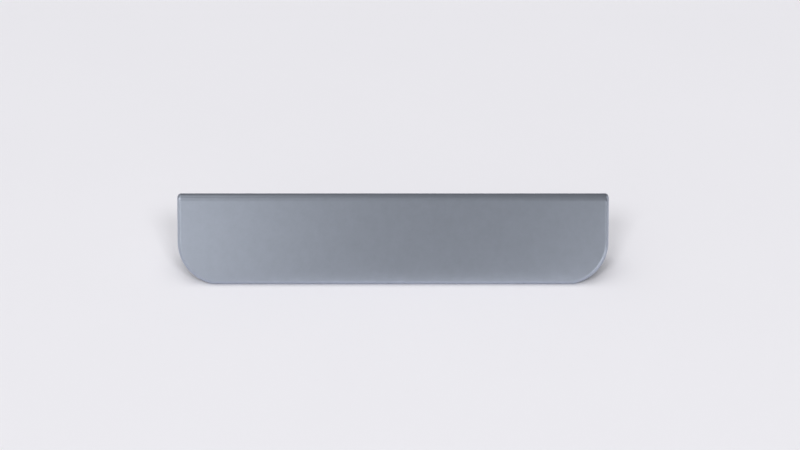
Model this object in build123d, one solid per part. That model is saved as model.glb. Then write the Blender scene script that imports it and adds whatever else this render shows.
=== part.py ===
from build123d import *

import os
from math import asin, cos, degrees, radians, sin, tan

# Edge pull for a drawer front or a cabinet door. It is one casting, and in section it is a narrow
# upside-down V. The flat leg lies against the front of the board, with its top level with the board's
# upper edge. A tight nose turns it over into the lip, a plate that slopes down and outwards. Fingers
# go up behind the lip from below. Two bosses between leg and lip take screws from behind.
#
# Millimetres. The origin lies on the mounting face, midway between the two screw holes. X runs along
# the handle, +Y points into the board and +Z points up.

# The whole handle
LENGTH = 150.0
HOLE_SPACING = 128.0
HOLE_BELOW_TOP = 16.0

# Lip: the sloping plate that the fingers pull
LIP_TILT = 30.0
LIP_LENGTH = 29.3
LIP_THICKNESS = 3.0

# Front of the lip: flat below the nose, it rolls ever more back towards the bottom edge
FLAT_LEAD = 14.0
ROLL_REACH = 4.0
ROLL_DROP = 1.0

# Lower corners of the lip: each round runs out on the bottom edge at a shallow, eased angle
CORNER_RADIUS = 15.0
CORNER_RUNOUT = 0.3
CORNER_EASE = 3.0

# Nose and leg. The back is cast proud of the mounting face and then ground flat.
NOSE_RADIUS = 2.4
LEG_THICKNESS = 2.2
LEG_CORNER_RADIUS = 8.0
CROTCH_RADIUS = 1.5
GRINDING_STOCK = 0.5

# Softened edges, outside all round and inside all round
OUTER_ARRIS = 1.3
INNER_ARRIS = 0.4

# Bosses, with a fillet round the root where they meet leg, crotch and lip
BOSS_RADIUS = 4.2
BOSS_TOP = 9.0
BOSS_ROOT = 0.6

# Blind holes, drilled for an M4 thread: countersunk mouth, and the drill's own point at the end
THREAD_DRILL_RADIUS = 1.65
THREAD_DEPTH = 8.0
COUNTERSINK = 0.35
DRILL_POINT_ANGLE = 118.0

# How far a cutting block reaches past the metal
CLEAR = 2.0

half_length = LENGTH / 2
tilt = radians(LIP_TILT)

# Directions in the section: square out of the lip's front face, and down its slope
outward = Vector(0, -cos(tilt), sin(tilt))
downhill = Vector(0, -sin(tilt), -cos(tilt))

# Nose, tangent to the back as cast and to the lip's front face
nose_centre = Vector(0, GRINDING_STOCK - NOSE_RADIUS, HOLE_BELOW_TOP - NOSE_RADIUS)
nose_crest = nose_centre + Vector(0, 0, NOSE_RADIUS)
nose_heel = nose_centre + Vector(0, NOSE_RADIUS, 0)

# Lip: front and rear faces, with the bottom edge square to them
lip_top = nose_centre + outward * NOSE_RADIUS
lip_bottom = lip_top + downhill * LIP_LENGTH
rear_top = lip_top - outward * LIP_THICKNESS
rear_bottom = lip_bottom - outward * LIP_THICKNESS

# Rolled front face: the curve's handles lie on the slope, and its end on the bottom edge
flat_handle = lip_top + downhill * FLAT_LEAD
roll_handle = lip_bottom - downhill * ROLL_REACH
roll_end = lip_bottom - outward * ROLL_DROP

# The leg ends level with the lowest metal of the lip, so the handle stands on both edges
base_z = rear_bottom.Z + INNER_ARRIS * (sin(tilt) + cos(tilt) - 1)
leg_toe = Vector(0, -LEG_THICKNESS, base_z)
leg_heel = Vector(0, GRINDING_STOCK, base_z)

# The inner faces of lip and leg would meet here in a point, which the crotch rounds
crotch_apex = rear_top + downhill * ((rear_top.Y + LEG_THICKNESS) / sin(tilt))
crotch_run = CROTCH_RADIUS / tan(tilt / 2)


def vee():
    """The V in section, drawn along the whole length of the handle."""
    nose = ThreePointArc(nose_heel, nose_crest, lip_top)
    front = Bezier(lip_top, flat_handle, roll_handle, roll_end)
    rest = Polyline(roll_end, rear_bottom, crotch_apex, leg_toe, leg_heel, nose_heel)
    section = Face(Wire([*nose.edges(), *front.edges(), *rest.edges()]))
    apex = section.vertices().sort_by_distance(crotch_apex)[0]
    section = section.fillet_2d(CROTCH_RADIUS, [apex])
    return extrude(section, amount=half_length, dir=(1, 0, 0), both=True)


def lip_corner_waste():
    """What the two rounds take off the lower corners of the lip, square to its face."""
    height = CORNER_RADIUS - CORNER_RUNOUT
    sweep = degrees(asin(height / CORNER_RADIUS))
    right = CenterArc((half_length - CORNER_RADIUS, height), CORNER_RADIUS, -sweep, sweep)
    left = mirror(right, Plane.YZ)
    bottom = Line(left @ 0, right @ 0)
    top = Line(right @ 1, left @ 1)
    lip_end = Face(Wire([*bottom.edges(), *right.edges(), *top.edges(), *left.edges()]))
    runouts = lip_end.vertices().sort_by(Axis.Y)[:2]
    lip_end = lip_end.fillet_2d(CORNER_EASE, runouts)

    lip_plane = Plane(origin=lip_bottom, x_dir=(1, 0, 0), z_dir=outward)
    depth = LIP_THICKNESS + CLEAR
    band = Pos(0, (height - CLEAR) / 2, 0) * Box(LENGTH + 2 * CLEAR, height + CLEAR, 2 * depth)
    return lip_plane * (band - extrude(lip_end, amount=2 * depth, both=True))


def border(body, *points):
    """Outer edges of the run of faces that hold these points, without the seams between them."""
    faces = [body.faces().sort_by_distance(point)[0] for point in points]
    edges = [edge for face in faces for edge in face.edges()]
    return [edge for edge in edges if sum(edge.is_same(other) for other in edges) == 1]


def boss(x):
    """Round-ended pad from leg to lip, carried up into the crotch so that the core draws down."""
    outline = Pos(x, 0) * (Circle(BOSS_RADIUS) + Pos(0, BOSS_TOP / 2) * Rectangle(2 * BOSS_RADIUS, BOSS_TOP))
    pad = extrude(Plane.XZ * outline, amount=-lip_bottom.Y)
    mid_lip = Plane(origin=(lip_bottom + rear_bottom) / 2, z_dir=outward)
    return split(pad, bisect_by=mid_lip, keep=Keep.BOTTOM)


def add_boss(body, x):
    """Fuses a boss to the casting and fillets its root."""
    joined = body + boss(x)
    root = [edge for edge in joined.edges() if not any(edge.is_same(old) for old in body.edges())]
    return fillet([edge for edge in root if abs(edge.center().X - x) <= BOSS_RADIUS + CLEAR], BOSS_ROOT)


def screw_hole(x):
    """Blind hole from the mounting face into a boss, as an outline turned about the screw's axis."""
    point = THREAD_DRILL_RADIUS / tan(radians(DRILL_POINT_ANGLE / 2))
    wide = THREAD_DRILL_RADIUS + COUNTERSINK
    narrow = THREAD_DRILL_RADIUS
    outline = Polyline((0, 0), (wide, 0), (narrow, -COUNTERSINK), (narrow, -THREAD_DEPTH),
                       (0, -THREAD_DEPTH - point), close=True)
    return Pos(x, 0, 0) * revolve(Face(Wire(outline.edges())), axis=Axis.Y)


# Casting as it leaves the mould: the V with rounded corners, soft outside and inside
handle = vee() - lip_corner_waste()
leg_corners = handle.edges().filter_by(Axis.Y).group_by(Axis.Z)[0]
handle = fillet(leg_corners, LEG_CORNER_RADIUS)
front_middle = (lip_top + lip_bottom) / 2
back_middle = (nose_heel + leg_heel) / 2
handle = fillet(border(handle, front_middle, nose_crest, back_middle), OUTER_ARRIS)
rear_middle = (rear_bottom + crotch_apex + downhill * crotch_run) / 2
leg_middle = (leg_toe + crotch_apex - Vector(0, 0, crotch_run)) / 2
crotch_crest = crotch_apex + Vector(0, -CROTCH_RADIUS, -crotch_run)
handle = fillet(border(handle, rear_middle, leg_middle, crotch_crest), INNER_ARRIS)

# Bosses and holes, then the back ground flat
for hole_x in (-HOLE_SPACING / 2, HOLE_SPACING / 2):
    handle = add_boss(handle, hole_x)
grinding = Pos(0, CLEAR, 0) * Box(LENGTH + 2 * CLEAR, 2 * CLEAR, 4 * LIP_LENGTH)
handle -= grinding
for hole_x in (-HOLE_SPACING / 2, HOLE_SPACING / 2):
    handle -= screw_hole(hole_x)

os.makedirs("parts", exist_ok=True)
export_step(handle, "parts/handle.step")
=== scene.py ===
from math import cos, pi, radians, sin

import bpy
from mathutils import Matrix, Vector


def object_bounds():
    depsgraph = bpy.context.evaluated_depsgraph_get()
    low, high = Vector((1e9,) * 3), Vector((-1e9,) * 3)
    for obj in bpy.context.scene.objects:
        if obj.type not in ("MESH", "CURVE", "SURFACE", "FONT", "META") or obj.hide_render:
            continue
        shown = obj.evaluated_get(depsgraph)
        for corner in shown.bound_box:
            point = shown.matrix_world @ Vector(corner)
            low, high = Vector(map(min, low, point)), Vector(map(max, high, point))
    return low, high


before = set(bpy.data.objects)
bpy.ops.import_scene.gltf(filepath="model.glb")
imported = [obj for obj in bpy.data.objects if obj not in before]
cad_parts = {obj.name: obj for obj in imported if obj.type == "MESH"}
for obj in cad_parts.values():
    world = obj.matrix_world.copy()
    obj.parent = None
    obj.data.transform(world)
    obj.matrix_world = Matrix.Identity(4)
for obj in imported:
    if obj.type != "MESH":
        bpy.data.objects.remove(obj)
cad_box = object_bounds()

# Furniture edge pull in satin chrome, standing on its leg and lip on a pale floor. Metres.

MM = 0.001
WHITE = (1.0, 1.0, 1.0, 1.0)

# Places of a mix node's two colours among its inputs, and of the mixed colour among its outputs
COLOUR_A = 6
COLOUR_B = 7
MIXED_COLOUR = 2

# The photograph's frame, and where the handle lies in it, in pixels
PHOTO_WIDTH = 800
PHOTO_HEIGHT = 450
HANDLE_LEFT_PX = 177.1
HANDLE_RIGHT_PX = 609.0
HANDLE_TOP_PX = 193.1
HANDLE_BOTTOM_PX = 284.2

# Camera: straight in front of the handle and well above it. Its distance is to the lip's face.
CAMERA_ELEVATION = radians(36.5)
CAMERA_DISTANCE = 0.9
SENSOR_WIDTH = 36.0
FACE_AHEAD = 3.0 * MM

# Room: dim walls before and behind, a pale band low down on the right in front, and a window high
# on the left. Directions point from the handle to the light, and their length is about 1. The
# falloff says how closely the band keeps to the horizon.
WALL_GLOW = 0.20
LOW_GLOW = 3.0
LOW_DIRECTION = (0.72, -0.69, 0.0)
LOW_FALLOFF = 20.0
WINDOW_GLOW = 0.48
WINDOW_DIRECTION = (-0.70, -0.13, 0.70)

# Panels round the handle, which only the metal reflects: where each hangs, its width and height,
# and how bright it looks
REFLECTION_PANELS = {
    "front_left_panel": ((-0.19, -0.36, 0.14), (0.25, 0.20), 0.80),
    "front_right_panel": ((0.24, -0.34, 0.08), (0.30, 0.24), 0.66),
    "side_left_panel": ((-0.60, -0.15, 0.20), (0.50, 0.40), 0.50),
    "side_right_panel": ((0.60, 0.10, 0.35), (0.60, 0.50), 0.86),
    "top_left_panel": ((-0.34, -0.22, 0.46), (0.50, 0.36), 1.00),
    "near_left_panel": ((-0.13, 0.06, 0.22), (0.14, 0.16), 0.35),
}

# Lamps that light only the floor, in the same terms. The two in front give the handle its shadows
# on either side, and the wide one overhead keeps them pale.
FLOOR_LAMPS = {
    "left_floor_lamp": ((-1.2, -3.2, 3.4), (1.2, 1.2), 13.9),
    "right_floor_lamp": ((1.2, -3.2, 3.4), (1.2, 1.2), 12.8),
    "ceiling_lamp": ((0.0, 0.3, 3.0), (2.5, 2.5), 1.4),
}

# Floor paint: its two close tones, and the clouds that the roller leaves, a few centimetres wide
FLOOR_SIZE = 40.0
FLOOR_HEX = "#f2f1f6"
FLOOR_SHADE_HEX = "#f0eff4"
FLOOR_CLOUD_MM = 60.0
FLOOR_CLOUD_DETAIL = 3.0
FLOOR_ROUGHNESS = 0.9

# Tones of the satin chrome, in patches a few millimetres wide where the blasting fell a touch more
# or less heavily. The paler ones are the rougher ones.
PLATING_HEX = "#b3bac8"
PLATING_SHADE_HEX = "#a4abb7"
CLOUD_MM = 3.5
CLOUD_DETAIL = 6.0
CLOUD_ROUGHNESS = 0.8
SATIN_ROUGHNESS = 0.32
ROUGHNESS_SPREAD = 0.02

# Blasted grain. The real one is about 0.1 mm across. It is drawn coarser, so that it shows.
GRAIN_MM = 0.7
GRAIN_DETAIL = 1.0
GRAIN_DEPTH_MM = 0.016
GRAIN_STRENGTH = 0.5


def linear(hex_colour):
    """sRGB hex as the linear red, green, blue and alpha that the shaders take."""
    channels = [int(hex_colour[i:i + 2], 16) / 255 for i in (1, 3, 5)]
    return [c / 12.92 if c <= 0.04045 else ((c + 0.055) / 1.055) ** 2.4 for c in channels] + [1.0]


def add_node(tree, kind, settings=None, values=None, links=None):
    """Adds a node, sets its properties and input values, and links inputs to other nodes' outputs."""
    node = tree.nodes.new(kind)
    for name, value in (settings or {}).items():
        setattr(node, name, value)
    for name, value in (values or {}).items():
        node.inputs[name].default_value = value
    for name, output in (links or {}).items():
        tree.links.new(output, node.inputs[name])
    return node


def satin_chrome():
    """Zinc die casting, bead blasted and then plated with satin chrome.

    The blasting leaves a fine even grain that spreads every reflection, so the metal shows soft
    gradients and no mirror image. The plating is cool and slightly blue.
    """
    material = bpy.data.materials.new("satin_chrome_on_blasted_zinc")
    material.use_nodes = True
    tree = material.node_tree
    tree.nodes.clear()
    place = add_node(tree, "ShaderNodeTexCoord").outputs["Object"]

    clouds = add_node(
        tree, "ShaderNodeTexNoise",
        values={"Scale": 1 / (CLOUD_MM * MM), "Detail": CLOUD_DETAIL, "Roughness": CLOUD_ROUGHNESS},
        links={"Vector": place})
    tone = add_node(
        tree, "ShaderNodeMix", {"data_type": "RGBA"},
        values={COLOUR_A: linear(PLATING_SHADE_HEX), COLOUR_B: linear(PLATING_HEX)},
        links={"Factor": clouds.outputs["Fac"]})
    roughness = add_node(
        tree, "ShaderNodeMapRange",
        values={"To Min": SATIN_ROUGHNESS - ROUGHNESS_SPREAD,
                "To Max": SATIN_ROUGHNESS + ROUGHNESS_SPREAD},
        links={"Value": clouds.outputs["Fac"]})

    grain = add_node(
        tree, "ShaderNodeTexNoise", values={"Scale": 1 / (GRAIN_MM * MM), "Detail": GRAIN_DETAIL},
        links={"Vector": place})
    bump = add_node(
        tree, "ShaderNodeBump", values={"Strength": GRAIN_STRENGTH, "Distance": GRAIN_DEPTH_MM * MM},
        links={"Height": grain.outputs["Fac"]})
    metal = add_node(
        tree, "ShaderNodeBsdfPrincipled", values={"Metallic": 1.0},
        links={"Base Color": tone.outputs[MIXED_COLOUR], "Roughness": roughness.outputs["Result"],
               "Normal": bump.outputs["Normal"]})
    add_node(tree, "ShaderNodeOutputMaterial", links={"Surface": metal.outputs["BSDF"]})
    return material


def matt_floor():
    """Matt white paint, rolled on.

    It shows no gloss at all, only faint wide clouds where it lies thicker or thinner.
    """
    material = bpy.data.materials.new("matt_white_rolled_paint")
    material.use_nodes = True
    tree = material.node_tree
    tree.nodes.clear()
    place = add_node(tree, "ShaderNodeTexCoord").outputs["Object"]
    clouds = add_node(
        tree, "ShaderNodeTexNoise",
        values={"Scale": 1 / (FLOOR_CLOUD_MM * MM), "Detail": FLOOR_CLOUD_DETAIL},
        links={"Vector": place})
    tone = add_node(
        tree, "ShaderNodeMix", {"data_type": "RGBA"},
        values={COLOUR_A: linear(FLOOR_SHADE_HEX), COLOUR_B: linear(FLOOR_HEX)},
        links={"Factor": clouds.outputs["Fac"]})
    paint = add_node(
        tree, "ShaderNodeBsdfPrincipled",
        values={"Roughness": FLOOR_ROUGHNESS, "Specular IOR Level": 0.0},
        links={"Base Color": tone.outputs[MIXED_COLOUR]})
    add_node(tree, "ShaderNodeOutputMaterial", links={"Surface": paint.outputs["BSDF"]})
    return material


def lay_floor(level):
    """Pale floor at the height that the handle stands on."""
    bpy.ops.mesh.primitive_plane_add(size=FLOOR_SIZE, location=(0, 0, level))
    floor = bpy.context.object
    floor.name = "floor"
    floor.data.materials.append(matt_floor())


def light_room():
    """World of dim walls with a pale band low on the right and a window high on the left."""
    world = bpy.data.worlds.new("room")
    bpy.context.scene.world = world
    world.use_nodes = True
    tree = world.node_tree
    tree.nodes.clear()
    direction = add_node(tree, "ShaderNodeTexCoord").outputs["Generated"]
    parts = add_node(tree, "ShaderNodeSeparateXYZ", links={"Vector": direction})

    # Walls: brightest straight before and behind
    ahead = add_node(tree, "ShaderNodeMath", {"operation": "ABSOLUTE"}, links={0: parts.outputs["Y"]})
    walls = add_node(tree, "ShaderNodeMath", {"operation": "MULTIPLY"}, values={1: WALL_GLOW},
                     links={0: ahead.outputs["Value"]})

    # Low band: brightest at the horizon, and only on its own side
    slope = add_node(tree, "ShaderNodeMath", {"operation": "ABSOLUTE"}, links={0: parts.outputs["Z"]})
    level = add_node(tree, "ShaderNodeMath", {"operation": "SUBTRACT"}, values={0: 1.0},
                     links={1: slope.outputs["Value"]})
    band = add_node(tree, "ShaderNodeMath", {"operation": "POWER"}, values={1: LOW_FALLOFF},
                    links={0: level.outputs["Value"]})
    towards_low = add_node(tree, "ShaderNodeVectorMath", {"operation": "DOT_PRODUCT"},
                           values={1: LOW_DIRECTION}, links={0: direction})
    low_side = add_node(tree, "ShaderNodeMath", {"operation": "MAXIMUM"}, values={1: 0.0},
                        links={0: towards_low.outputs["Value"]})
    low_band = add_node(tree, "ShaderNodeMath", {"operation": "MULTIPLY"},
                        links={0: band.outputs["Value"], 1: low_side.outputs["Value"]})
    room = add_node(tree, "ShaderNodeMath", {"operation": "MULTIPLY_ADD"}, values={1: LOW_GLOW},
                    links={0: low_band.outputs["Value"], 2: walls.outputs["Value"]})

    # Window: wide and soft round its direction
    towards_window = add_node(tree, "ShaderNodeVectorMath", {"operation": "DOT_PRODUCT"},
                              values={1: WINDOW_DIRECTION}, links={0: direction})
    window = add_node(tree, "ShaderNodeMath", {"operation": "MAXIMUM"}, values={1: 0.0},
                      links={0: towards_window.outputs["Value"]})
    glow = add_node(tree, "ShaderNodeMath", {"operation": "MULTIPLY_ADD"}, values={1: WINDOW_GLOW},
                    links={0: window.outputs["Value"], 2: room.outputs["Value"]})
    background = add_node(tree, "ShaderNodeBackground", values={"Color": WHITE},
                          links={"Strength": glow.outputs["Value"]})
    add_node(tree, "ShaderNodeOutputWorld", links={"Surface": background.outputs["Background"]})


def hang_light(name, place, size, brightness, for_metal):
    """Flat light, aimed at the handle and unseen itself, either for the metal or for the floor.

    Its watts are what its brightness takes at its size.
    """
    lamp = bpy.data.lights.new(name, "AREA")
    lamp.shape = "RECTANGLE"
    lamp.size, lamp.size_y = size
    lamp.energy = brightness * pi * lamp.size * lamp.size_y
    light = bpy.data.objects.new(name, lamp)
    bpy.context.scene.collection.objects.link(light)
    light.visible_camera = False
    light.visible_glossy = for_metal
    light.visible_diffuse = not for_metal
    light.location = place
    light.rotation_euler = (-light.location).to_track_quat("-Z", "Y").to_euler()


def place_camera():
    """Camera at the photograph's angle, so far off and so aimed that the handle fills its pixels."""
    low, high = cad_box
    metres_per_px = (high.x - low.x) / (HANDLE_RIGHT_PX - HANDLE_LEFT_PX)
    aside = (PHOTO_WIDTH / 2 - (HANDLE_LEFT_PX + HANDLE_RIGHT_PX) / 2) * metres_per_px
    above = ((HANDLE_TOP_PX + HANDLE_BOTTOM_PX) / 2 - PHOTO_HEIGHT / 2) * metres_per_px

    camera = bpy.data.cameras.new("camera")
    camera.sensor_width = SENSOR_WIDTH
    camera.lens = SENSOR_WIDTH * CAMERA_DISTANCE / (PHOTO_WIDTH * metres_per_px)
    viewer = bpy.data.objects.new("camera", camera)
    bpy.context.scene.collection.objects.link(viewer)
    bpy.context.scene.camera = viewer

    back = Vector((0, -cos(CAMERA_ELEVATION), sin(CAMERA_ELEVATION)))
    up = Vector((0, sin(CAMERA_ELEVATION), cos(CAMERA_ELEVATION)))
    middle = (low + high) / 2 + back * FACE_AHEAD
    target = middle + Vector((aside, 0, 0)) + up * above
    viewer.location = target + back * CAMERA_DISTANCE
    viewer.rotation_euler = (pi / 2 - CAMERA_ELEVATION, 0, 0)


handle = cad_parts["handle"]
handle.data.materials.clear()
handle.data.materials.append(satin_chrome())

lay_floor(cad_box[0].z)
light_room()
for panel_name, (place, size, brightness) in REFLECTION_PANELS.items():
    hang_light(panel_name, place, size, brightness, for_metal=True)
for lamp_name, (place, size, brightness) in FLOOR_LAMPS.items():
    hang_light(lamp_name, place, size, brightness, for_metal=False)
place_camera()

bpy.context.scene.view_settings.view_transform = "Standard"
